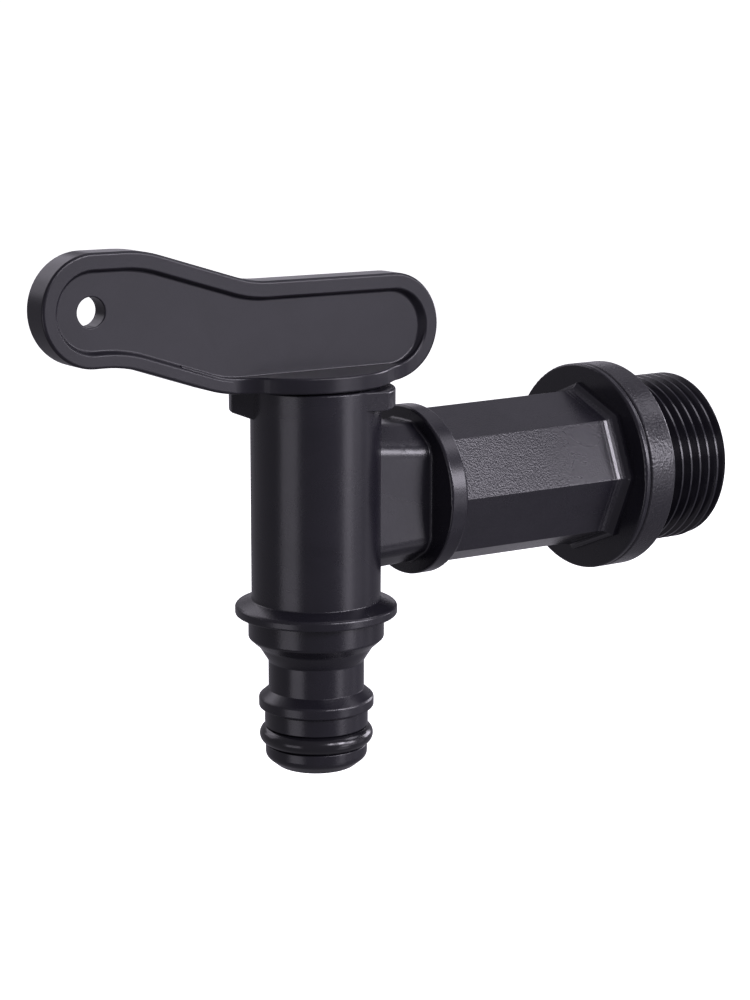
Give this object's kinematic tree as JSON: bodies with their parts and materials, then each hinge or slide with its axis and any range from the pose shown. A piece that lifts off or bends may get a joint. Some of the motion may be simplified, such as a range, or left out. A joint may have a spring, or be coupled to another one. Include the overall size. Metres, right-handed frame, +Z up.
{
  "type": "water butt tap",
  "caption": "Black plastic lever tap for a rainwater barrel: threaded inlet with octagonal spanner section, flange and washer, quarter-turn lever, and a quick-connect hose nozzle below.",
  "frame": {"origin": "on the inlet thread's axis, at the tank side of the sealing washer", "axes": "+X along the inlet branch into the tank, +Z up along the valve axis"},
  "size_m": [0.1128, 0.032, 0.0768],
  "materials": {
    "black_plastic": "satin black moulded plastic",
    "seal_rubber": "smooth black rubber",
    "washer_rubber": "matt dark grey rubber"
  },
  "bodies": {
    "tap": {"tap_body": "black_plastic", "nozzle_o_ring": "seal_rubber", "flange_washer": "washer_rubber"},
    "lever": {"lever_handle": "black_plastic", "plug_upper_o_ring": "seal_rubber", "plug_lower_o_ring": "seal_rubber", "port_seal": "seal_rubber"}
  },
  "joints": [
    {"name": "lever_turn", "type": "hinge", "parent": "tap", "child": "lever", "pos_m": [-0.055, 0, 0], "axis": [0, 0, 1], "range_deg": [-90, 0]}
  ]
}
